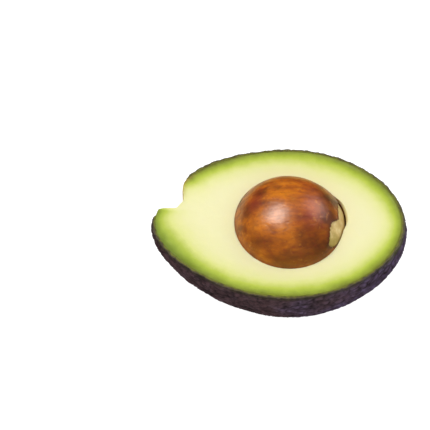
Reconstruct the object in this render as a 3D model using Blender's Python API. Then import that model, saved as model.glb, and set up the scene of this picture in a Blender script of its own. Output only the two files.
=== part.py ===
"""One half of a ripe, dark-skinned avocado with its stone, lying on its back with the cut face up.

Four separate pieces: the leathery skin, the flesh that fills it, the stone's pale seed, and the thin
brown coat around the seed, torn open at the blossom end.

Units are metres and +Z is up. The origin is the middle of the footprint, on the surface that the fruit
lies on. The long axis runs along X: the stem end is at -X and the blossom end at +X.
"""

import math

import bmesh
import bpy
from mathutils import Matrix, Vector

MM = 0.001

# Whole fruit: an egg-like body of revolution about its long axis.
FRUIT_LENGTH = 96.0 * MM
FRUIT_RADIUS = 32.8 * MM
BLOSSOM_FULLNESS = 0.08  # how much the blossom half swells, and the stem half narrows
END_SLIMMING = 0.13  # how much both ends are slimmer than an ellipsoid's
RESTING_FLAT_DEPTH = 0.5 * MM  # how far the soft fruit flattens where it lies

# The knife passed a little above the long axis, so this is the larger half, and not quite along it: with
# the cut level, the axis dips towards the blossom end.
CUT_ABOVE_AXIS = 5.6 * MM  # at the middle of the fruit
AXIS_DIP = math.radians(4)

SKIN_THICKNESS = 1.0 * MM
GAP = 0.3 * MM  # clearance between neighbouring pieces

# Stone: an ellipsoid, its long axis level and nearly on the fruit's, nearer the blossom end.
STONE_HALF_LENGTH = 21.6 * MM
STONE_RADIUS = 20.8 * MM
STONE_CENTRE_X = 3.4 * MM
STONE_BELOW_CUT = 6.9 * MM
COAT_THICKNESS = 0.4 * MM
CAVITY_SLACK = 1.2 * MM  # extra room in the flesh past the stone's blossom end

# The stem's socket: a round hollow in the far side of the stem end.
SOCKET_RADIUS = 8.0 * MM
SOCKET_CENTRE_X = -44.3 * MM
SOCKET_CENTRE_Y = 13.3 * MM
SOCKET_BELOW_CUT = 2.0 * MM

# The tear in the coat: an oval hole beside the cut face, from the stone's centre.
TEAR_CENTRE = Vector((18.5, -4.0, 7.0)) * MM
TEAR_RADII = Vector((7.0, 8.5, 8.5)) * MM

STATIONS = 26  # profile points from tip to tip
FRUIT_SEGMENTS = 48
STONE_SEGMENTS = 32
STONE_RINGS = 18
CUTTER_SEGMENTS = 24
CUTTER_RINGS = 12
PEAK_SAMPLES = 400
SLOPE_STEP = 1e-4  # share of the half-length between the two points that give the profile's slope


def remove_startup_objects():
    for obj in list(bpy.data.objects):
        bpy.data.objects.remove(obj, do_unlink=True)


def principled(name, colour, roughness):
    material = bpy.data.materials.new(name)
    material.use_nodes = True
    shader = material.node_tree.nodes["Principled BSDF"]
    shader.inputs["Base Color"].default_value = (*colour, 1.0)
    shader.inputs["Roughness"].default_value = roughness
    shader.inputs["Metallic"].default_value = 0.0
    material.diffuse_color = (*colour, 1.0)
    return material


def fruit_radius(along):
    """The fruit's radius at a share of its half-length: -1 is the stem tip, 1 the blossom tip."""
    ellipse = math.sqrt(max(0.0, 1.0 - along * along))
    return FRUIT_RADIUS * ellipse * (1.0 + BLOSSOM_FULLNESS * along - END_SLIMMING * along * along)


def reach_below_middle():
    """How far the dipped fruit reaches below the middle of its axis."""
    shares = [2.0 * i / PEAK_SAMPLES - 1.0 for i in range(PEAK_SAMPLES + 1)]
    half = FRUIT_LENGTH / 2
    return max(half * share * math.sin(AXIS_DIP) + fruit_radius(share) * math.cos(AXIS_DIP) for share in shares)


MIDDLE_Z = reach_below_middle() - RESTING_FLAT_DEPTH
CUT_Z = MIDDLE_Z + CUT_ABOVE_AXIS
STONE_CENTRE = Vector((STONE_CENTRE_X, 0.0, CUT_Z - STONE_BELOW_CUT))


def profile_points(inset):
    """(x, radius) from the stem tip to the blossom tip, moved inwards by inset along the profile's normal."""
    half = FRUIT_LENGTH / 2
    points = [(-half + inset, 0.0)]
    for i in range(1, STATIONS):
        angle = math.pi * i / STATIONS
        along = -math.cos(angle)
        rise = fruit_radius(along + SLOPE_STEP) - fruit_radius(along - SLOPE_STEP)
        slope = rise / (2 * SLOPE_STEP * half)
        normal = Vector((-slope, 1.0)).normalized()
        x = half * along - inset * normal.x
        radius = fruit_radius(along) - inset * normal.y
        points.append((x, radius))
    points.append((half - inset, 0.0))
    return points


def turned_fruit(inset):
    """The whole fruit as a bmesh: its profile spun about the long axis, which then dips."""
    bm = bmesh.new()
    verts = [bm.verts.new((x, 0.0, radius)) for x, radius in profile_points(inset)]
    edges = [bm.edges.new(pair) for pair in zip(verts, verts[1:])]
    bmesh.ops.spin(
        bm,
        geom=verts + edges,
        cent=(0.0, 0.0, 0.0),
        axis=(1.0, 0.0, 0.0),
        angle=2 * math.pi,
        steps=FRUIT_SEGMENTS,
        use_merge=True,
    )
    bmesh.ops.remove_doubles(bm, verts=bm.verts, dist=0.01 * MM)
    bmesh.ops.recalc_face_normals(bm, faces=bm.faces)
    bm.transform(Matrix.Translation((0.0, 0.0, MIDDLE_Z)) @ Matrix.Rotation(AXIS_DIP, 4, "Y"))
    return bm


def slice_off(bm, height, facing):
    """Cuts the closed mesh flat at that height and drops what lies on the facing side (1 above, -1 below)."""
    bmesh.ops.bisect_plane(
        bm,
        geom=bm.verts[:] + bm.edges[:] + bm.faces[:],
        dist=0.001 * MM,
        plane_co=(0.0, 0.0, height),
        plane_no=(0.0, 0.0, facing),
        clear_outer=True,
    )
    rim = [edge for edge in bm.edges if edge.is_boundary]
    bmesh.ops.contextual_create(bm, geom=rim)
    bmesh.ops.recalc_face_normals(bm, faces=bm.faces)


def ellipsoid(centre, radii, segments, rings):
    """An ellipsoid whose poles lie on its X axis."""
    bm = bmesh.new()
    turn = Matrix.Rotation(math.pi / 2, 4, "Y")
    place = Matrix.Translation(centre) @ Matrix.Diagonal((*radii, 1.0)) @ turn
    bmesh.ops.create_uvsphere(bm, u_segments=segments, v_segments=rings, radius=1.0, matrix=place)
    return bm


def stone_ellipsoid(inset, slack=0.0):
    """The stone's shape, smaller by inset, and longer by slack at its blossom end."""
    centre = STONE_CENTRE + Vector((slack / 2, 0.0, 0.0))
    half_length = STONE_HALF_LENGTH - inset + slack / 2
    radius = STONE_RADIUS - inset
    return ellipsoid(centre, (half_length, radius, radius), STONE_SEGMENTS, STONE_RINGS)


def new_object(name, bm, material=None):
    mesh = bpy.data.meshes.new(name)
    bm.to_mesh(mesh)
    bm.free()
    mesh.shade_smooth()
    mesh.set_sharp_from_angle(angle=math.radians(35))
    obj = bpy.data.objects.new(name, mesh)
    bpy.context.scene.collection.objects.link(obj)
    if material is not None:
        mesh.materials.append(material)
    return obj


def new_cutter(name, bm):
    cutter = new_object(name, bm)
    cutter.hide_render = True
    cutter.display_type = "WIRE"
    return cutter


def cut_with(obj, cutter):
    modifier = obj.modifiers.new("cut_" + cutter.name, "BOOLEAN")
    modifier.operation = "DIFFERENCE"
    modifier.object = cutter


def make_skin(socket):
    """The leathery peel: a thin bowl with a small flat where it lies on the table."""
    outside = turned_fruit(0.0)
    slice_off(outside, CUT_Z, 1)
    slice_off(outside, 0.0, -1)
    peel = principled("skin_purple_black", (0.045, 0.026, 0.04), 0.45)
    skin = new_object("skin", outside, peel)
    cut_with(skin, new_cutter("skin_inside", turned_fruit(SKIN_THICKNESS)))
    cut_with(skin, socket)


def make_flesh(socket):
    """The flesh: it fills the skin, and holds the stone in a hollow open at the cut face."""
    block = turned_fruit(SKIN_THICKNESS + GAP)
    slice_off(block, CUT_Z, 1)
    butter = principled("flesh_yellow_green", (0.78, 0.76, 0.36), 0.5)
    flesh = new_object("flesh", block, butter)
    cut_with(flesh, new_cutter("stone_hollow", stone_ellipsoid(-GAP, CAVITY_SLACK)))
    cut_with(flesh, socket)


def make_seed_coat():
    """The papery brown coat: a thin shell with an oval tear that shows the seed."""
    brown = principled("coat_brown", (0.33, 0.13, 0.03), 0.3)
    coat = new_object("seed_coat", stone_ellipsoid(0.0), brown)
    cut_with(coat, new_cutter("coat_inside", stone_ellipsoid(COAT_THICKNESS)))
    tear = ellipsoid(STONE_CENTRE + TEAR_CENTRE, TEAR_RADII, CUTTER_SEGMENTS, CUTTER_RINGS)
    cut_with(coat, new_cutter("coat_tear", tear))


def make_seed():
    """The pale solid seed inside its coat."""
    cream = principled("seed_cream", (0.72, 0.58, 0.3), 0.45)
    new_object("seed", stone_ellipsoid(COAT_THICKNESS + GAP), cream)


def main():
    remove_startup_objects()
    socket_centre = Vector((SOCKET_CENTRE_X, SOCKET_CENTRE_Y, CUT_Z - SOCKET_BELOW_CUT))
    ball = ellipsoid(socket_centre, (SOCKET_RADIUS,) * 3, CUTTER_SEGMENTS, CUTTER_RINGS)
    socket = new_cutter("stem_socket", ball)
    make_skin(socket)
    make_flesh(socket)
    make_seed_coat()
    make_seed()


main()
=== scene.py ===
"""The looks of half an avocado with its stone, lying on its back on a pale floor with the cut face up.

Four pieces stand for the CAD nodes: the pebbled skin, the flesh, the stone's pale seed, and the brown
coat around the seed, torn open at the blossom end. Each is one closed mesh made of rings of points that
run from one pole to the other. The stem end is at -X and the blossom end at +X. Units are metres.
"""

import math

import bpy
import numpy as np
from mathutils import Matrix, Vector, noise


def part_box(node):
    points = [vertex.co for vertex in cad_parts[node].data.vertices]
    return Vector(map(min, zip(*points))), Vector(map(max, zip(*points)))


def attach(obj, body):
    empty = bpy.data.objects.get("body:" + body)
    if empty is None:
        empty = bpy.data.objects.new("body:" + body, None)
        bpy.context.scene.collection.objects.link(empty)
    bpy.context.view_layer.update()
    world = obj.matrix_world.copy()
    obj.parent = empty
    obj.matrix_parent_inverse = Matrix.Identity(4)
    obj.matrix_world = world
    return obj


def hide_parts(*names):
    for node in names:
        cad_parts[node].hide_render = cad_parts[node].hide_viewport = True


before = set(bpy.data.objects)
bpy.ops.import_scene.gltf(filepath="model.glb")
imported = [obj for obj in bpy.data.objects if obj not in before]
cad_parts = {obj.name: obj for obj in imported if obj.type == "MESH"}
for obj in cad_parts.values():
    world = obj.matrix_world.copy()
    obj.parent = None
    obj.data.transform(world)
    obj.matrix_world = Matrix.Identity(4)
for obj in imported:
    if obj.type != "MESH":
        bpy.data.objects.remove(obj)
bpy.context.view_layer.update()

noise.seed_set(1)  # or noise_vector would take its offsets from the clock

MM = 0.001

# The whole fruit, nearly a body of revolution about its long axis, which dips towards the blossom end.
skin_low, skin_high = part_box("skin")
HALF_LENGTH = 48.0 * MM
WIDEST = (skin_high.y - skin_low.y) / 2
CUT_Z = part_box("flesh")[1].z
MIDDLE_Z = CUT_Z - 5.6 * MM  # the middle of the axis
AXIS_DIP = math.radians(4)
BLOSSOM_FULLNESS = 0.08
END_SLIMMING = 0.13
PROFILE_STEPS = 600
BISECTIONS = 40

# Bumps around the cut face, each its azimuth and its width in degrees, and its height.
SWELLINGS = [(121, 13, 0.9), (88, 14, -0.45), (42, 14, 0.3)]  # of the fruit's outline, in mm
GREEN_BUMPS = [(198, 36, 0.46), (122, 18, -0.12), (62, 45, 0.14)]  # of how deep the green reaches
LEAFY_BUMPS = [(205, 36, 1)]  # of the deeper green at the stem end
DRY_BUMPS = [(134, 7, 1)]  # of the dry lip at the socket's upper corner

SKIN_THICKNESS = 1.0 * MM
CLEARANCE = 0.03 * MM  # between the skin and the flesh
CORE_HALF = 28.0 * MM  # half of the line inside the fruit from which its surface is measured
RIM_CHAMFER = 0.12 * MM  # of the flesh's edge, under the skin's
CUT_SINK = 0.1 * MM  # how far the flesh's cut face lies low, so that its waves stay under the cut

# The skin's relief.
LARGE_PEBBLES = 3.3 * MM  # about their size
SMALL_PEBBLES = 2.1 * MM
PEBBLE_TOP = 0.62  # the cell height from which a pebble's top is flat
PEBBLE_HEIGHT = 0.38 * MM
GRAIN_HEIGHT = 0.1 * MM
SWELL_HEIGHT = 0.22 * MM
SCAR_RADII = (1.1 * MM, 1.9 * MM)  # of the blossom scar's bottom and of its edge
SCAR_DEPTH = 0.55 * MM
SCAR_LIP_RADIUS = 2.3 * MM
SCAR_LIP_WIDTH = 0.6 * MM
SCAR_LIP_HEIGHT = 0.2 * MM

# The stone, from its coat's box.
coat_low, coat_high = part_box("seed_coat")
STONE_CENTRE = np.array((coat_low + coat_high) / 2)
STONE_RADII = np.array((coat_high - coat_low) / 2)
COAT_THICKNESS = 0.3 * MM
COAT_LIFT = 0.05 * MM  # how far the coat stands off the seed
COAT_SINK = 0.04 * MM  # how far the coat lies inside the CAD's
CURL_HEIGHT = 0.12 * MM  # of the coat's torn edge
CURL_REACH = 0.6 * MM
SEED_DIMPLES = 0.12 * MM
BULGE_WAY = np.array((0.92, 0.31, 0.24))  # from the stone's centre to the middle of a low bulge on it
BULGE_HEIGHT = 0.75 * MM
BULGE_SIZE = math.radians(24)
STONE_SLACK = 0.02 * MM  # room round the stone in its hollow
BLOSSOM_SLACK = 1.25 * MM  # extra room past the stone's blossom end, at the cut face
BLOSSOM_SLACK_FALL = 0.75 * MM  # how far down that room falls to about a third
SLACK_AZIMUTH = math.radians(12)  # of the middle of that room
SLACK_REACH = (0.865, 0.94)  # cosines of the angles from its middle where it starts and where it is full
LIP_ROUNDING = 0.15 * MM  # of the hollow's edge at the cut face

# The stem's socket: a hollow in the far side of the stem end, which has no skin.
SOCKET_AZIMUTH = math.radians(150.5)
SOCKET_WIDTHS = np.radians((19, 13.5))  # from its middle away from the stem tip, and towards it
SOCKET_DIP = math.radians(17)  # how far it runs down at its full width
SOCKET_FALL = math.radians(15)  # over how much more it closes
SOCKET_DEPTH = 5.7 * MM
SOCKET_FLOOR = 0.23  # share of its width that has its full depth
SKIN_EDGES = np.radians((19.5, 21))  # where the skin ends, from the socket's middle either way
SKIN_EDGE_DIP = math.radians(32)
THINNING_START = 1.15  # where the skin starts to thin towards that edge, which is at 1
THINNED_SHARE = 0.65  # of its thickness, at the edge
SMOOTHED_SHARE = 0.8  # of its relief, at the edge

# The tear in the coat: (degrees around its centre, degrees from its centre to its edge).
TEAR_CENTRE = np.array((0.93, -0.20, 0.30))
TEAR_EDGE = [(-120, 15), (-30, 22), (4, 33), (24, 30), (44, 20), (64, 16.5), (82, 18.5), (96, 25),
             (120, 25.5), (144, 28), (158, 24), (172, 15)]

# The stage.
WHITE = (1.0, 1.0, 1.0, 1.0)
FLOOR_SIZE = 6.0
FLOOR_GLOW = 0.95
WORLD_BRIGHTNESS = 0.62
LAMP_DISTANCE = 1.0  # from the middle of the cut face
CAMERA_ELEVATION = math.radians(60)
CAMERA_DISTANCE = 0.75
CAMERA_LENS = 168.5  # in mm, on Blender's usual sensor of 36 mm
AIM_LEFT = 24.1 * MM  # what the camera aims at, from the middle of the cut face
AIM_UP = 2.6 * MM


def srgb(red, green, blue):
    """A screen colour of 0 to 255 as linear light."""
    return [((c + 14) / 269) ** 2.4 if c > 10 else c / 3295 for c in (red, green, blue)] + [1.0]


# ---------------------------------------------------------------- points


def smooth_step(value, low, high):
    share = np.clip((value - low) / (high - low), 0, 1)
    return share * share * (3 - 2 * share)


def bumps(azimuth, places):
    """The sum of the places' bumps at an azimuth in degrees."""
    return sum(height * np.exp(-(((azimuth - place) / width) ** 2)) for place, width, height in places)


def sample(points, size, function, seed):
    """function, one of Blender's noises, at each point, in a pattern of about that size."""
    flat = points.reshape(-1, 3) / size + seed
    values = np.array([function(Vector(point)) for point in flat])
    return values.reshape(points.shape[:-1] + values.shape[1:])


def cell_height(point):
    """0 in the creases between round cells, and about 1 in the middle of one."""
    distances, _ = noise.voronoi(point)
    return distances[1] - distances[0]


def fruit_shape(along):
    """The profile's radius over the fruit's nominal one: -1 is the stem tip, 1 the blossom tip."""
    ellipse = np.sqrt(np.clip(1 - along**2, 0, 1))
    return ellipse * (1 + BLOSSOM_FULLNESS * along - END_SLIMMING * along**2)


def profile(inset=0.0):
    """x and radius from tip to tip, moved inwards by inset."""
    along = -np.cos(np.linspace(0, math.pi, PROFILE_STEPS))
    radius = fruit_shape(along)
    x, radius = HALF_LENGTH * along, radius * WIDEST / radius.max()
    run, rise = np.gradient(x), np.gradient(radius)
    size = np.hypot(run, rise)
    return x + inset * rise / size, np.maximum(radius - inset * run / size, 0)


def bowl_direction(azimuth, dip):
    """Unit vectors from the core line, by azimuth from +X towards +Y and dip down from the cut face."""
    azimuth, dip = np.broadcast_arrays(azimuth, dip)
    level = np.cos(dip)
    return np.stack([level * np.cos(azimuth), level * np.sin(azimuth), -np.sin(dip)], axis=-1)


def along_and_across(points):
    """How far points lie along the fruit's axis from its middle, and how far from the axis."""
    rise = points[..., 2] - MIDDLE_Z
    along = points[..., 0] * math.cos(AXIS_DIP) - rise * math.sin(AXIS_DIP)
    above = points[..., 0] * math.sin(AXIS_DIP) + rise * math.cos(AXIS_DIP)
    return along, np.hypot(points[..., 1], above)


def swelling(direction):
    """How far the fruit stands off a body of revolution."""
    azimuth = np.degrees(np.arctan2(direction[..., 1], direction[..., 0]))
    return bumps(azimuth, SWELLINGS) * MM * (1 - direction[..., 2] ** 2) ** 2


def bowl_surface(direction, inset=0.0, raised=0.0):
    """Points of the fruit's surface moved inwards by inset, and then along the directions by raised."""
    xs, radii = profile(inset)
    start = np.zeros_like(direction)
    start[..., 0] = CORE_HALF * direction[..., 0]
    start[..., 2] = CUT_Z
    near = np.zeros(direction.shape[:-1])
    far = np.full(direction.shape[:-1], HALF_LENGTH)
    for _ in range(BISECTIONS):
        middle = (near + far) / 2
        along, across = along_and_across(start + direction * middle[..., None])
        outside = across > np.interp(along, xs, radii, left=0, right=0)
        far = np.where(outside, middle, far)
        near = np.where(outside, near, middle)
    return start + direction * (near + raised + swelling(direction))[..., None]


def depth_under_surface(points):
    """How deep points lie under the whole fruit's surface."""
    xs, radii = profile()
    along, across = along_and_across(points)
    slope = np.interp(along, xs, np.gradient(radii, xs))
    return (np.interp(along, xs, radii) - across) / np.sqrt(1 + slope**2)


def across_socket(azimuth, widths):
    """From -1 to 1 across the socket, whose two widths are away from the stem tip and towards it."""
    away = (azimuth - SOCKET_AZIMUTH + math.pi) % (2 * math.pi) - math.pi
    return away / np.where(away < 0, widths[0], widths[1])


def socket_share(azimuth, dip):
    """0 in the middle of the socket, which runs straight down from the cut face, to 1 at its edge."""
    below = np.maximum(dip - SOCKET_DIP, 0) / SOCKET_FALL
    return np.hypot(across_socket(azimuth, SOCKET_WIDTHS), below)


def socket_hollow(azimuth, dip):
    """How far the flesh lies below the fruit's surface at the stem's socket."""
    return SOCKET_DEPTH * smooth_step(-socket_share(azimuth, dip), -1, -SOCKET_FLOOR)


def skin_edge_share(azimuth, dip):
    """0 in the middle of the socket, to 1 where the skin ends around it."""
    return np.hypot(across_socket(azimuth, SKIN_EDGES), dip / SKIN_EDGE_DIP)


# ---------------------------------------------------------------- meshes


def make_mesh(name, rings, charts, values):
    """One closed mesh from rings of points, whose first and last rings close on their middles.

    charts are (first ring, last ring, centre, radii): the discs of the flat map that the rings fill.
    values are numbers per point, with the rings' shape.
    """
    count, around = rings.shape[:2]
    ids = np.arange(count * around).reshape(count, around)
    nexts = np.roll(ids, -1, axis=1)
    quads = np.stack([ids[:-1], nexts[:-1], nexts[1:], ids[1:]], axis=-1)
    first, last = count * around, count * around + 1
    caps = [np.stack([np.full(around, first), nexts[0], ids[0]], axis=-1),
            np.stack([np.full(around, last), ids[-1], nexts[-1]], axis=-1)]
    poles = np.stack([rings[0].mean(axis=0), rings[-1].mean(axis=0)])
    points = np.concatenate([rings.reshape(-1, 3), poles])
    mesh = bpy.data.meshes.new(name)
    mesh.from_pydata(points, [], quads.reshape(-1, 4).tolist() + np.concatenate(caps).tolist())

    turn = 2 * math.pi * np.arange(around) / around
    circle = np.stack([np.cos(turn), np.sin(turn)], axis=-1)
    maps = []
    for start, end, centre, radii in charts:
        disc = np.array(centre) + circle * np.broadcast_to(radii, end - start + 1)[:, None, None]
        after = np.roll(disc, -1, axis=1)
        maps.append(np.stack([disc[:-1], after[:-1], after[1:], disc[1:]], axis=2).reshape(-1, 2))
        if start == 0:
            maps_first = np.stack([np.broadcast_to(centre, circle.shape), after[0], disc[0]], axis=1)
        if end == count - 1:
            maps_last = np.stack([np.broadcast_to(centre, circle.shape), disc[-1], after[-1]], axis=1)
    corners = np.concatenate(maps + [maps_first.reshape(-1, 2), maps_last.reshape(-1, 2)])
    mesh.uv_layers.new(name="OFBake").data.foreach_set("uv", corners.astype(np.float32).ravel())

    for key, value in values.items():
        ends = [value[0].mean(), value[-1].mean()]
        layer = mesh.attributes.new(key, "FLOAT", "POINT")
        layer.data.foreach_set("value", np.append(value.ravel(), ends).astype(np.float32))
    mesh.shade_smooth()
    piece = bpy.data.objects.new(name, mesh)
    bpy.context.scene.collection.objects.link(piece)
    return piece


def stand_for(piece, node, material):
    piece.data.materials.append(material)
    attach(piece, "root")
    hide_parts(node)


def skin_relief(points):
    """The pebbled relief: heights in metres, and 0 in its creases to 1 on its crests."""
    bent = points + sample(points, 2.6 * MM, noise.noise_vector, 4.1) * 0.7 * MM
    bent += sample(points, 8.0 * MM, noise.noise_vector, 6.2) * 1.6 * MM
    large = np.clip(sample(bent, LARGE_PEBBLES, cell_height, 1.7) / PEBBLE_TOP, 0, 1)
    small = np.clip(sample(bent, SMALL_PEBBLES, cell_height, 5.9) / PEBBLE_TOP, 0, 1)
    share = smooth_step(sample(points, 5.0 * MM, noise.noise, 0.4), -0.25, 0.25)
    pebble = 1 - (1 - (large + (small - large) * share)) ** 2
    grain = sample(bent, 0.9 * MM, noise.noise, 8.3)
    swell = sample(points, 7.0 * MM, noise.noise, 2.9)
    crest = np.clip(0.15 + 0.7 * pebble + 0.25 * grain + 0.3 * swell, 0, 1)
    height = PEBBLE_HEIGHT * (pebble - 0.7) + GRAIN_HEIGHT * grain + SWELL_HEIGHT * swell
    return height, crest


def blossom_scar(points):
    """The small round scar at the blossom tip: its height, and 1 inside it."""
    along, across = along_and_across(points)
    across = np.where(along > 0, across, math.inf)
    bottom, edge = SCAR_RADII
    inside = smooth_step(-across, -edge, -bottom)
    lip = np.exp(-(((across - SCAR_LIP_RADIUS) / SCAR_LIP_WIDTH) ** 2))
    return SCAR_LIP_HEIGHT * lip - SCAR_DEPTH * inside, inside


def skin_columns(around, around_socket):
    """Azimuths, close together at the socket, and how far the skin's edge dips below the cut face."""
    share = np.linspace(-1, 1, around_socket)
    share = 0.5 * share + 0.5 * np.sin(share * math.pi / 2)
    before, after = SKIN_EDGES
    socket = SOCKET_AZIMUTH + np.where(share < 0, before, after) * share
    rest = np.linspace(after, 2 * math.pi - before, around - around_socket + 2)[1:-1]
    azimuth = np.concatenate([socket, SOCKET_AZIMUTH + rest])
    dip = np.zeros(around)
    wobble = 1 + 0.06 * np.sin(7 * share) + 0.02 * np.sin(19 * share + 1)
    dip[:around_socket] = SKIN_EDGE_DIP * np.where(share < 0, np.sqrt(1 - share**4), 1 - share**2) * wobble
    return azimuth, dip


def make_skin(material):
    around, rows, inner_rows = 620, 112, 16
    azimuth, edge_dip = skin_columns(around, 90)

    def dips(shares):
        return edge_dip + (math.pi / 2 - edge_dip) * shares[:, None]

    shares = np.linspace(1, 0, rows + 1)[1:]
    shares[-1] = 0.0012  # the outside ends a little under the cut, which rounds its edge
    out = bowl_direction(azimuth, dips(shares))
    plain = bowl_surface(out)
    height, crest = skin_relief(plain)
    scar_height, scar = blossom_scar(plain)
    thinned = smooth_step(-skin_edge_share(azimuth, dips(shares)), -THINNING_START, -1)
    height = height * (1 - SMOOTHED_SHARE * thinned) - THINNED_SHARE * SKIN_THICKNESS * thinned
    outer = bowl_surface(out, raised=height * (1 - scar) + scar_height)
    inner_dips = dips(np.linspace(0, 1, inner_rows + 1)[:-1])
    inner = bowl_surface(bowl_direction(azimuth, inner_dips), SKIN_THICKNESS)

    edge_out = bowl_surface(bowl_direction(azimuth, edge_dip), raised=height[-1])
    across = np.array([0.1, 0.3, 0.5, 0.7, 0.88])[:, None, None]
    edge = edge_out + (inner[0] - edge_out) * across
    ragged = sample(edge, 0.9 * MM, noise.noise, 5.5)
    edge[..., 2] += np.where(edge_dip > 0, 0, -0.06 * MM * (ragged + 0.6))

    rings = np.concatenate([outer, edge, inner])
    rings[..., 2] = np.maximum(rings[..., 2], 0)
    depth = np.zeros(rings.shape[:2])
    depth[rows:rows + len(edge)] = across[..., 0]
    depth[rows + len(edge):] = 1
    crests = np.concatenate([crest, np.repeat(crest[-1:], len(rings) - rows, axis=0)])
    scars = np.concatenate([scar, np.zeros((len(rings) - rows, around))])
    lip = smooth_step(-socket_share(azimuth, 0.0), -1.6, -1.1)
    near_edge = np.zeros(rings.shape[:2])
    near_edge[:rows] = np.exp(-shares[:, None] * 60)
    near_edge[rows:rows + len(edge)] = 1
    last_edge = rows + len(edge)
    charts = [(0, last_edge, (0.43, 0.43), np.linspace(0.004, 0.42, last_edge + 1)),
              (last_edge, len(rings) - 1, (0.88, 0.88), np.linspace(0.1, 0.006, inner_rows))]
    skin = make_mesh("peel", rings, charts, {
        "depth": depth, "crest": crests, "scar": scars, "lip": near_edge * lip})
    stand_for(skin, "skin", material)


def stone_surface(direction, inset=0.0, stretch=0.0):
    """Points of the stone's surface, moved inwards by inset.

    stretch adds that much room past the blossom end at the cut face, and less and less below it.
    """
    radii = STONE_RADII - inset
    uneven = sample(direction, 0.9, noise.noise, 3.3)[..., None] * 0.35 * MM
    points = STONE_CENTRE + direction * (radii + uneven)
    turned = np.arccos(np.clip(direction @ (BULGE_WAY / np.linalg.norm(BULGE_WAY)), -1, 1))
    bulge = BULGE_HEIGHT * np.exp(-((turned / BULGE_SIZE) ** 2))
    points[..., :2] += direction[..., :2] * bulge[..., None]
    below = np.maximum(CUT_Z - points[..., 2], 0)
    toward = direction[..., 0] * math.cos(SLACK_AZIMUTH) + direction[..., 1] * math.sin(SLACK_AZIMUTH)
    points[..., 0] += stretch * smooth_step(toward, *SLACK_REACH) * np.exp(-below / BLOSSOM_SLACK_FALL)
    return points


def hollow_direction(turn, dip):
    """Directions from the stone's centre, from dip 0, at the cut face, to dip 1, straight down."""
    rise = (CUT_Z - STONE_CENTRE[2]) / STONE_RADII[2]
    level = np.arcsin(rise)
    angle = level - (level + math.pi / 2) * dip
    flat = np.cos(angle)
    drop = np.sin(angle) * np.ones_like(turn)
    return np.stack([flat * np.cos(turn), flat * np.sin(turn), drop], axis=-1)


def flesh_wall(turn, dip, inset):
    """Rings of the flesh's outside up to the cut face, and how deep the socket is at each point."""
    out = bowl_direction(turn, dip)
    hollow = socket_hollow(turn, dip)
    in_socket = smooth_step(hollow, 0, SOCKET_DEPTH) * smooth_step(dip, 0, 0.15)
    fibres = sample(out, 0.03, noise.noise, 3.8) * 0.3 * MM * in_socket
    return bowl_surface(out, inset, raised=fibres - hollow), hollow


def cut_face(rim, lip, away, rows):
    """The cut face's rings from the rim to the stone's hollow, and how far along each is, 0 to 1."""
    share = np.linspace(0, 1, rows)[:, None, None]
    share = 0.5 * share + 0.5 * (1 - np.cos(math.pi * share)) / 2
    start = rim - away * RIM_CHAMFER
    face = start + (lip + away * LIP_ROUNDING - start) * share
    waves = sample(face, 11 * MM, noise.noise, 6.1) * 0.16
    waves += sample(face, 3.5 * MM, noise.noise, 1.1) * 0.04
    share = share[..., 0]
    calm = np.minimum(smooth_step(share, 0, 0.08), smooth_step(-share, -1, -0.93))
    face[..., 2] = CUT_Z + (waves * MM - CUT_SINK) * calm
    return face, share


def rounded_lip(lip, away):
    """The rings that round the cut face's inner edge down into the stone's hollow."""
    rings = []
    for angle in np.linspace(0.25, 0.85, 3) * math.pi / 2:
        ring = lip + away * LIP_ROUNDING * (1 - math.sin(angle))
        ring[:, 2] = CUT_Z - LIP_ROUNDING * (1 - math.cos(angle))
        rings.append(ring)
    return np.stack(rings)


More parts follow.
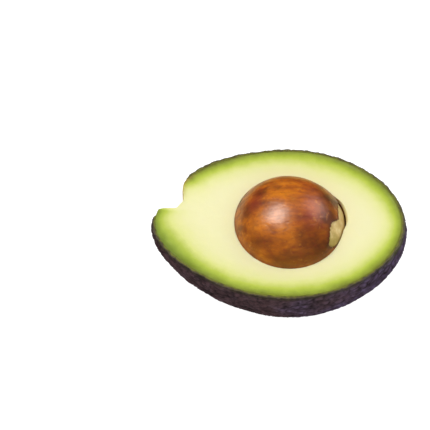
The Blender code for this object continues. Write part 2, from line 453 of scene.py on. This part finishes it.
def make_flesh(material):
    around, wall_rows, top_rows, hollow_rows = 560, 52, 56, 26
    turn = 2 * math.pi * np.arange(around) / around
    inset = SKIN_THICKNESS + CLEARANCE
    dip = (math.pi / 2) * np.linspace(1, 0, wall_rows + 1)[1:, None]
    wall, wall_hollow = flesh_wall(turn, dip, inset)
    rim = wall[-1].copy()
    wall[-1, :, 2] -= RIM_CHAMFER

    whole_rim = bowl_surface(bowl_direction(turn, 0.0), inset) - STONE_CENTRE
    toward = np.arctan2(whole_rim[:, 1] / STONE_RADII[1], whole_rim[:, 0] / STONE_RADII[0])
    lip = stone_surface(hollow_direction(toward, 0.0), -STONE_SLACK, BLOSSOM_SLACK)
    away = rim - lip
    breadth = np.linalg.norm(away, axis=1)
    away /= breadth[:, None]
    top, share = cut_face(rim, lip, away, top_rows)
    dips = np.linspace(0.012, 1, hollow_rows + 1)[:-1, None]
    hollow = stone_surface(hollow_direction(toward[None, :], dips), -STONE_SLACK, BLOSSOM_SLACK)

    rings = np.concatenate([wall, top, rounded_lip(lip, away), hollow])
    last_top = wall_rows + top_rows - 1
    bare = np.zeros(rings.shape[:2])
    bare[:wall_rows] = smooth_step(-socket_share(turn, dip), -1.1, -0.6)
    bare[wall_rows:last_top + 1] = bare[wall_rows - 1] * smooth_step(-share, -0.5, 0)
    socket = np.zeros(rings.shape[:2])
    exposed = smooth_step(-skin_edge_share(turn, dip), -1.3, -0.9)
    socket[:wall_rows] = np.maximum(0.55 * exposed, smooth_step(wall_hollow, 0, 0.6 * SOCKET_DEPTH))
    from_rim = share * breadth / MM
    azimuth = np.degrees(turn)
    socket[wall_rows:last_top + 1] = bumps(azimuth, DRY_BUMPS) * np.exp(-from_rim / 0.7)
    green = 1 + bumps(azimuth, GREEN_BUMPS)
    leafy = np.broadcast_to(bumps(azimuth, LEAFY_BUMPS), rings.shape[:2])
    in_hollow = np.zeros(rings.shape[:2])
    in_hollow[last_top + 1:] = 1
    from_stone = np.full(rings.shape[:2], 30.0)
    from_stone[wall_rows:last_top + 1] = np.linalg.norm(top - lip, axis=-1) / MM
    from_stone[last_top + 1:] = 0
    charts = [(0, wall_rows - 1, (0.87, 0.87), np.linspace(0.004, 0.11, wall_rows)),
              (wall_rows - 1, len(rings) - 1, (0.43, 0.43), np.concatenate([
                  np.linspace(0.42, 0.18, last_top - wall_rows + 2),
                  np.linspace(0.178, 0.004, len(rings) - 1 - last_top)]))]
    flesh = make_mesh("pulp", rings, charts, {
        "under": depth_under_surface(rings) / MM / green, "bare": bare, "socket": socket, "leafy": leafy,
        "hollow": in_hollow, "from_stone": from_stone})
    stand_for(flesh, "flesh", material)


def tear_frame():
    """The tear's centre and two directions across it, on the sphere that the stone is stretched from."""
    centre = TEAR_CENTRE / np.linalg.norm(TEAR_CENTRE)
    side = np.array([0.0, 1.0, 0.0]) - centre * centre[1]
    side /= np.linalg.norm(side)
    return centre, side, np.cross(centre, side)


def stone_direction(turn, angle):
    """Directions from the stone's centre, by the angle from the tear's centre and the turn around it."""
    centre, side, other = tear_frame()
    ring = side * np.cos(turn)[..., None] + other * np.sin(turn)[..., None]
    return centre * np.cos(angle)[..., None] + ring * np.sin(angle)[..., None]


def tear_reach(turn):
    """The angle from the tear's centre to its ragged edge, at turns that go once around."""
    places, reaches = zip(*TEAR_EDGE)
    reach = np.interp(np.degrees(turn), places, reaches, period=360)
    width = 9  # of the smoothing, in turns on each side
    padded = np.concatenate([reach[-width:], reach, reach[:width]])
    window = np.hanning(2 * width + 1)
    reach = np.convolve(padded, window / window.sum(), mode="valid")
    circle = np.stack([np.cos(turn), np.sin(turn), np.zeros_like(turn)], axis=-1)
    ragged = sample(circle, 0.3, noise.noise, 2.2) * 2.0 + sample(circle, 0.11, noise.noise, 7.2) * 1.2
    ragged += sample(circle, 0.04, noise.noise, 3.6) * 0.5
    return np.radians(reach + ragged)


def coat_stains(direction):
    """Patches of colour on the coat: orange, red-brown, dark brown and olive, each 0 to 1.

    A patch is its middle, as a direction from the stone's centre, its size in radians and its strength.
    """
    bent = direction + sample(direction, 0.16, noise.noise_vector, 1.3) * 0.09
    bent /= np.linalg.norm(bent, axis=-1)[..., None]

    def patches(places):
        total = np.zeros(direction.shape[:-1])
        for x, y, z, size, strength in places:
            centre = np.array((x, y, z)) / np.linalg.norm((x, y, z))
            total += strength * np.exp(-((np.arccos(np.clip(bent @ centre, -1, 1)) / size) ** 2))
        return np.minimum(total, 1)

    return {
        "orange": patches([(-0.15, 0.47, 0.87, 0.16, 0.9), (-0.27, 0.22, 0.94, 0.14, 1.0),
                           (-0.54, -0.29, 0.79, 0.2, 1.0), (-0.04, -0.51, 0.86, 0.2, 0.9),
                           (-0.51, -0.71, 0.49, 0.16, 0.8), (0.1, 0.2, 0.97, 0.24, 0.5)]),
        "red": patches([(-0.63, 0.12, 0.77, 0.16, 1.0), (-0.56, 0.4, 0.72, 0.14, 0.9),
                        (0.34, -0.25, 0.91, 0.24, 0.9), (0.46, 0.55, 0.7, 0.3, 0.7),
                        (-0.1, 0.8, 0.6, 0.3, 0.5), (0.35, 0.1, 0.93, 0.2, 0.4)]),
        "dark": patches([(0.69, -0.1, 0.72, 0.22, 1.0), (0.42, -0.52, 0.74, 0.32, 0.6),
                         (0.15, -0.69, 0.71, 0.22, 0.25), (0.66, 0.3, 0.69, 0.2, 0.8),
                         (-0.41, 0.39, 0.82, 0.07, 0.8), (-0.54, 0.34, 0.77, 0.08, 0.7),
                         (-0.2, 0.38, 0.91, 0.06, 0.6), (-0.74, -0.06, 0.68, 0.11, 0.5),
                         (-0.59, -0.54, 0.61, 0.14, 0.5), (-0.7, -0.62, 0.34, 0.24, 0.35),
                         (0.8, 0.33, 0.5, 0.22, 0.6), (0.66, -0.62, 0.42, 0.2, 0.6)]),
        "olive": patches([(-0.03, -0.92, 0.36, 0.36, 1.0), (0.53, -0.76, 0.38, 0.3, 0.9),
                          (-0.6, -0.75, 0.2, 0.25, 0.7), (-0.93, -0.2, 0.3, 0.3, 0.6)])}


def make_coat(material):
    around, rows, inner_rows = 420, 160, 20
    turn = 2 * math.pi * np.arange(around) / around - math.pi
    edge = tear_reach(turn)
    share = np.linspace(1, 0, rows + 1)[1:, None] ** 1.25
    angle = edge + (math.pi - edge) * share
    out = stone_direction(np.broadcast_to(turn, angle.shape), angle)
    from_edge = (angle - edge) * STONE_RADII[1]

    waves = sample(out, 0.3, noise.noise, 9.4)
    veins = np.abs(sample(out * np.array([1.0, 2.2, 2.2]), 0.42, noise.noise, 5.1))
    crinkle = sample(out, 0.09, noise.noise, 2.7) * np.exp(-from_edge / (2.0 * MM))
    curl = CURL_HEIGHT * np.exp(-from_edge / CURL_REACH)
    height = (0.07 * waves - 0.04 * np.exp(-((veins / 0.04) ** 2)) + 0.08 * crinkle) * MM + curl
    outer = stone_surface(out) + out * (height - COAT_SINK)[..., None]

    inner_share = np.linspace(0, 1, inner_rows + 1)[:-1, None]
    inner_angle = edge + (math.pi - edge) * inner_share
    inward = stone_direction(np.broadcast_to(turn, inner_angle.shape), inner_angle)
    inner_lift = curl[-1] * np.exp(-((inner_angle - edge) * STONE_RADII[1]) / CURL_REACH)
    inner = stone_surface(inward, COAT_THICKNESS) + inward * (inner_lift - COAT_SINK)[..., None]
    rings = np.concatenate([outer, inner])

    def with_inside(values):
        return np.concatenate([values, np.repeat(values[-1:], inner_rows, axis=0)])

    values = {name: with_inside(stain) for name, stain in coat_stains(out).items()}
    values["from_tear"] = with_inside(from_edge / MM)
    values["vein"] = with_inside(np.exp(-((veins / 0.06) ** 2)))
    charts = [(0, rows - 1, (0.43, 0.43), np.linspace(0.004, 0.42, rows)),
              (rows - 1, len(rings) - 1, (0.9, 0.9), np.linspace(0.09, 0.004, inner_rows + 1))]
    coat = make_mesh("stone_coat", rings, charts, values)
    stand_for(coat, "seed_coat", material)


def make_seed(material):
    around, rows = 240, 110
    turn = 2 * math.pi * np.arange(around) / around
    angle = math.pi * np.linspace(1, 0, rows + 2)[1:-1, None]
    out = stone_direction(np.broadcast_to(turn, (rows, around)), np.broadcast_to(angle, (rows, around)))
    dimples = sample(out, 0.16, noise.noise, 4.4)[..., None] * SEED_DIMPLES
    rings = stone_surface(out, COAT_THICKNESS + COAT_LIFT + SEED_DIMPLES) + out * dimples
    edge = tear_reach(turn)
    from_edge = (edge - angle) * STONE_RADII[1] / MM
    charts = [(0, rows - 1, (0.5, 0.5), np.linspace(0.004, 0.48, rows))]
    seed = make_mesh("stone_seed", rings, charts, {"from_tear": from_edge})
    stand_for(seed, "seed", material)


# ---------------------------------------------------------------- materials


class Nodes:
    """A material's node tree, with short ways to add nodes to it."""

    def __init__(self, name):
        self.material = bpy.data.materials.new(name)
        self.material.use_nodes = True
        self.tree = self.material.node_tree
        self.shader = self.tree.nodes["Principled BSDF"]
        self.place = self.add("TexCoord").outputs["Object"]

    def add(self, kind, inputs=None, **settings):
        made = self.tree.nodes.new("ShaderNode" + kind)
        for key, value in settings.items():
            setattr(made, key, value)
        for key, value in (inputs or {}).items():
            self.set(made.inputs[key], value)
        return made

    def set(self, socket, value):
        if isinstance(value, bpy.types.NodeSocket):
            self.tree.links.new(value, socket)
        else:
            socket.default_value = value

    def value(self, name):
        return self.add("Attribute", attribute_name=name).outputs["Fac"]

    def noise(self, size, detail=3.0, stretch=(1, 1, 1), roughness=0.55):
        """0 to 1, in a pattern of about that size in metres."""
        place = self.place
        if tuple(stretch) != (1, 1, 1):
            place = self.add("VectorMath", {0: place, 1: stretch}, operation="MULTIPLY").outputs[0]
        inputs = {"Vector": place, "Scale": 1 / size, "Detail": detail, "Roughness": roughness}
        return self.add("TexNoise", inputs).outputs["Fac"]

    def cells(self, size):
        return self.add("TexVoronoi", {"Vector": self.place, "Scale": 1 / size}).outputs["Distance"]

    def spread(self, value, low, high, to_low=0.0, to_high=1.0):
        """value from low to high, as to_low to to_high, held at the ends."""
        inputs = {"Value": value, "From Min": low, "From Max": high, "To Min": to_low, "To Max": to_high}
        return self.add("MapRange", inputs).outputs["Result"]

    def math(self, operation, a, b=0.0):
        return self.add("Math", {0: a, 1: b}, operation=operation).outputs[0]

    def ramp(self, value, stops):
        ramp = self.add("ValToRGB", {"Fac": value})
        line = ramp.color_ramp.elements
        while len(line) < len(stops):
            line.new(0.5)
        for element, (place, colour) in zip(line, stops):
            element.position, element.color = place, colour
        return ramp.outputs["Color"]

    def mix(self, share, a, b):
        made = self.add("Mix", data_type="RGBA")
        for index, value in ((0, share), (6, a), (7, b)):  # the sockets that a mix of colours uses
            self.set(made.inputs[index], value)
        return made.outputs[2]

    def bump(self, height, distance, below=None):
        inputs = {"Height": height, "Distance": distance, "Strength": 1.0}
        if below is not None:
            inputs["Normal"] = below
        return self.add("Bump", inputs).outputs["Normal"]

    def finish(self, colour, roughness, normal, **constants):
        self.set(self.shader.inputs["Base Color"], colour)
        self.set(self.shader.inputs["Roughness"], roughness)
        self.set(self.shader.inputs["Normal"], normal)
        for key, value in constants.items():
            self.shader.inputs[key.replace("_", " ")].default_value = value
        return self.material


def skin_material():
    n = Nodes("pebbled_skin")
    crest = n.value("crest")
    brown = n.ramp(n.noise(0.0035, 4.0), [
        (0.3, srgb(60, 40, 42)), (0.5, srgb(80, 56, 59)), (0.7, srgb(94, 70, 78))])
    purple = n.ramp(n.noise(0.0035, 4.0), [
        (0.3, srgb(66, 50, 64)), (0.5, srgb(88, 70, 96)), (0.7, srgb(102, 86, 122))])
    place = n.add("SeparateXYZ", {"Vector": n.place}).outputs
    patchy = n.spread(n.noise(0.02, 2.0), 0.3, 0.7, -0.3, 0.3)
    toward_blossom = n.math("ADD", n.spread(place["X"], -0.01, 0.04), patchy)
    tone = n.mix(n.spread(toward_blossom, 0.25, 0.75), brown, purple)
    # The creases between the pebbles are painted darker: painted shade, on top of the relief's own
    # shading.
    colour = n.mix(n.spread(crest, 0.05, 0.7), srgb(36, 22, 26), tone)
    fleck = n.spread(n.noise(0.0009, 2.0), 0.6, 0.75)
    colour = n.mix(n.math("MULTIPLY", fleck, 0.3), colour, srgb(100, 82, 90))
    colour = n.mix(n.value("scar"), colour, srgb(110, 84, 60))
    colour = n.mix(n.math("MULTIPLY", n.value("lip"), 0.7), colour, srgb(112, 82, 40))

    # Next to the cut the skin is olive, more so at the blossom end and on the far side.
    greener = n.math("MAXIMUM", n.spread(place["X"], 0.034, 0.044), n.spread(place["Y"], 0.012, 0.024))
    height = n.math("ADD", place["Z"], n.math("MULTIPLY", greener, 0.6 * MM))
    juicy = n.spread(height, CUT_Z - 1.8 * MM, CUT_Z - 0.3 * MM, 0.0, 0.8)
    juicy = n.math("MULTIPLY", juicy, n.spread(n.noise(0.003, 2.0), 0.3, 0.7, 0.6, 1.0))
    colour = n.mix(juicy, colour, n.mix(greener, srgb(54, 52, 8), srgb(88, 92, 24)))

    # Its cut edge turns from brown outside to green inside.
    depth = n.value("depth")
    ragged = n.math("MULTIPLY", depth, n.spread(n.noise(0.0025, 3.0), 0.3, 0.7, 0.35, 1.65))
    colour = n.mix(n.spread(ragged, 0.06, 0.4), colour, srgb(74, 68, 12))
    colour = n.mix(n.spread(ragged, 0.35, 0.75), colour, srgb(108, 112, 14))

    roughness = n.spread(n.math("ADD", crest, n.noise(0.002, 3.0)), 0.5, 1.5, 0.58, 0.36)
    roughness = n.math("MAXIMUM", roughness, n.spread(depth, 0.0, 0.1, 0.0, 0.85))
    fine = n.bump(n.noise(0.0006, 3.0), 0.06 * MM)
    pits = n.bump(n.cells(0.0013), 0.08 * MM, below=fine)
    return n.finish(colour, roughness, pits, Specular_IOR_Level=0.45)


def flesh_material():
    """The flesh's colour follows how deep it lies in the fruit, in mm. Bared flesh looks 3 mm deeper."""
    n = Nodes("avocado_flesh")
    streak = n.spread(n.noise(0.003, 3.0), 0.3, 0.7, -0.28, 0.28)
    cloud = n.spread(n.noise(0.014, 3.0), 0.3, 0.7, -0.4, 0.4)
    bare = n.math("MULTIPLY", n.value("bare"), 3.0)
    under = n.math("ADD", n.value("under"), n.math("ADD", streak, n.math("ADD", cloud, bare)))
    colour = n.ramp(n.spread(under, 0.0, 20.0), [
        (0.015, srgb(96, 94, 18)), (0.04, srgb(117, 126, 22)), (0.06, srgb(128, 140, 32)),
        (0.08, srgb(139, 154, 37)), (0.11, srgb(153, 170, 44)), (0.15, srgb(172, 191, 56)),
        (0.2, srgb(193, 208, 78)), (0.25, srgb(209, 218, 112)), (0.3, srgb(223, 228, 137)),
        (0.375, srgb(233, 234, 161)), (0.5, srgb(240, 238, 179)), (0.65, srgb(243, 240, 188)),
        (1.0, srgb(244, 240, 190))])
    leafy = n.math("MULTIPLY", n.value("leafy"), n.spread(under, 1.5, 6.0, 0.32, 0.0))
    colour = n.mix(leafy, colour, srgb(86, 132, 10))
    warm = n.spread(n.value("from_stone"), 0.0, 6.0, 0.3, 0.0)
    colour = n.mix(warm, colour, srgb(240, 228, 176))
    colour = n.mix(n.math("MULTIPLY", n.value("hollow"), 0.5), colour, srgb(222, 206, 146))
    dry = n.ramp(n.noise(0.0015, 4.0), [(0.3, srgb(144, 98, 44)), (0.7, srgb(196, 160, 90))])
    colour = n.mix(n.math("MULTIPLY", n.value("socket"), 0.85), colour, dry)
    roughness = n.spread(n.noise(0.004, 3.0), 0.3, 0.7, 0.42, 0.55)
    fine = n.bump(n.noise(0.0009, 3.0), 0.04 * MM)
    soft = n.bump(n.noise(0.006, 2.0), 0.2 * MM, below=fine)
    return n.finish(
        colour, roughness, soft, Specular_IOR_Level=0.18, Subsurface_Weight=0.3,
        Subsurface_Radius=(0.9, 1.0, 0.5), Subsurface_Scale=1.2 * MM)


def coat_material():
    n = Nodes("brown_seed_coat")
    grain = n.noise(0.0055, 5.0, stretch=(0.5, 1, 1), roughness=0.62)
    colour = n.ramp(grain, [
        (0.32, srgb(122, 54, 3)), (0.45, srgb(160, 80, 2)), (0.56, srgb(194, 102, 2)),
        (0.7, srgb(222, 132, 6))])
    streak = n.spread(n.noise(0.0022, 4.0, stretch=(0.35, 1, 1)), 0.52, 0.72)
    freckle = n.spread(n.noise(0.0016, 3.0, stretch=(0.7, 1, 1)), 0.55, 0.68)
    golden = n.spread(n.noise(0.0021, 3.0, stretch=(0.7, 1, 1)), 0.6, 0.72)
    for where, strength, stain in (
            (n.value("orange"), 0.65, (218, 124, 4)), (n.value("red"), 0.65, (156, 50, 18)),
            (n.value("olive"), 0.75, (116, 68, 4)), (n.value("dark"), 0.8, (68, 26, 4)),
            (streak, 0.35, (124, 50, 8)), (freckle, 0.4, (136, 48, 14)),
            (golden, 0.3, (214, 140, 40)), (n.value("vein"), 0.2, (92, 46, 18))):
        colour = n.mix(n.math("MULTIPLY", where, strength), colour, srgb(*stain))
    near = n.spread(n.value("from_tear"), 0.1, 1.4, 0.7, 0.0)
    colour = n.mix(near, colour, srgb(78, 44, 20))
    roughness = n.spread(grain, 0.3, 0.7, 0.4, 0.3)
    fine = n.bump(n.noise(0.0007, 3.0), 0.02 * MM)
    ripple = n.bump(n.noise(0.0025, 3.0, stretch=(0.5, 1, 1)), 0.12 * MM, below=fine)
    return n.finish(
        colour, roughness, ripple, Specular_IOR_Level=0.4, Coat_Weight=0.12, Coat_Roughness=0.2)


def seed_material():
    n = Nodes("pale_seed")
    colour = n.ramp(n.noise(0.003, 4.0), [
        (0.3, srgb(198, 164, 96)), (0.55, srgb(222, 192, 126)), (0.75, srgb(236, 214, 156))])
    across = n.add("SeparateXYZ", {"Vector": n.place}).outputs["Y"]
    blotch = n.spread(n.noise(0.003, 3.0), 0.3, 0.7, -0.0015, 0.0015)
    across = n.math("ADD", across, blotch)
    colour = n.mix(n.spread(across, -0.0055, -0.0095, 0.0, 0.85), colour, srgb(168, 146, 62))
    colour = n.mix(n.spread(across, 0.0, 0.004, 0.0, 0.4), colour, srgb(186, 158, 84))
    near = n.spread(n.value("from_tear"), 0.0, 0.9, 0.55, 0.0)
    colour = n.mix(near, colour, srgb(150, 112, 56))
    fine = n.bump(n.noise(0.0012, 3.0), 0.06 * MM)
    return n.finish(colour, n.spread(n.noise(0.002), 0.3, 0.7, 0.4, 0.55), fine)


# ---------------------------------------------------------------- stage


def make_floor():
    """A wide floor that glows a little, so that it looks as white as the photo's ground."""
    half = FLOOR_SIZE / 2
    corners = [(-half, -half, 0), (half, -half, 0), (half, half, 0), (-half, half, 0)]
    mesh = bpy.data.meshes.new("floor")
    mesh.from_pydata(corners, [], [(0, 1, 2, 3)])
    floor = bpy.data.objects.new("floor", mesh)
    floor.location.z = -0.02 * MM
    floor.visible_glossy = False
    bpy.context.scene.collection.objects.link(floor)
    n = Nodes("pale_floor")
    colour = n.ramp(n.noise(0.2, 2.0), [(0.3, (0.35, 0.35, 0.35, 1)), (0.7, (0.37, 0.37, 0.37, 1))])
    floor.data.materials.append(n.finish(
        colour, 0.9, n.bump(n.noise(0.01), 0.01 * MM), Specular_IOR_Level=0.1,
        Emission_Color=WHITE, Emission_Strength=FLOOR_GLOW))


def make_lamp(name, direction, size, brightness, colour, glossy):
    """A square lamp that faces the fruit, and shows only in its gloss or only in its colours.

    brightness is what it adds to a white surface that faces it.
    """
    data = bpy.data.lights.new(name, "AREA")
    data.shape = "SQUARE"
    data.size = size
    data.color = colour
    data.energy = brightness * (math.pi * LAMP_DISTANCE) ** 2
    lamp = bpy.data.objects.new(name, data)
    way = Vector(direction).normalized()
    lamp.location = Vector((0, 0, CUT_Z)) + way * LAMP_DISTANCE
    lamp.rotation_mode = "QUATERNION"
    lamp.rotation_quaternion = way.to_track_quat("Z", "Y")
    lamp.visible_glossy = glossy
    lamp.visible_diffuse = not glossy
    bpy.context.scene.collection.objects.link(lamp)


def make_stage():
    make_floor()
    make_lamp("key", (-0.36, 0.24, 0.9), 0.5, 0.36, (1.0, 0.99, 0.97), glossy=False)
    make_lamp("side", (0.65, 0.44, 0.62), 0.5, 0.14, (1.0, 0.98, 1.0), glossy=False)
    make_lamp("front", (0.25, -0.85, 0.45), 0.7, 0.12, (0.96, 0.97, 1.0), glossy=False)
    make_lamp("key_gloss", (-0.34, 0.15, 0.93), 0.55, 1.65, (1.0, 0.92, 0.82), glossy=True)
    make_lamp("side_gloss", (0.71, 0.44, 0.55), 0.6, 0.65, (1.0, 0.74, 0.68), glossy=True)
    world = bpy.data.worlds.new("studio")
    bpy.context.scene.world = world
    world.use_nodes = True
    background = world.node_tree.nodes["Background"]
    background.inputs["Color"].default_value = WHITE
    background.inputs["Strength"].default_value = WORLD_BRIGHTNESS
    world.cycles_visibility.glossy = False
    bpy.context.scene.view_settings.view_transform = "Standard"


def make_camera():
    """Looks down on the cut face, with the fruit right of the middle of the picture."""
    up = Vector((0, math.sin(CAMERA_ELEVATION), math.cos(CAMERA_ELEVATION)))
    back = Vector((0, -math.cos(CAMERA_ELEVATION), math.sin(CAMERA_ELEVATION)))
    aim = Vector((-AIM_LEFT, 0, CUT_Z)) + up * AIM_UP
    data = bpy.data.cameras.new("camera")
    data.lens = CAMERA_LENS
    data.clip_start, data.clip_end = 0.05, 20
    camera = bpy.data.objects.new("camera", data)
    camera.location = aim + back * CAMERA_DISTANCE
    camera.rotation_mode = "QUATERNION"
    camera.rotation_quaternion = back.to_track_quat("Z", "Y")
    bpy.context.scene.collection.objects.link(camera)
    bpy.context.scene.camera = camera


make_camera()
make_stage()
make_skin(skin_material())
make_flesh(flesh_material())
make_coat(coat_material())
make_seed(seed_material())
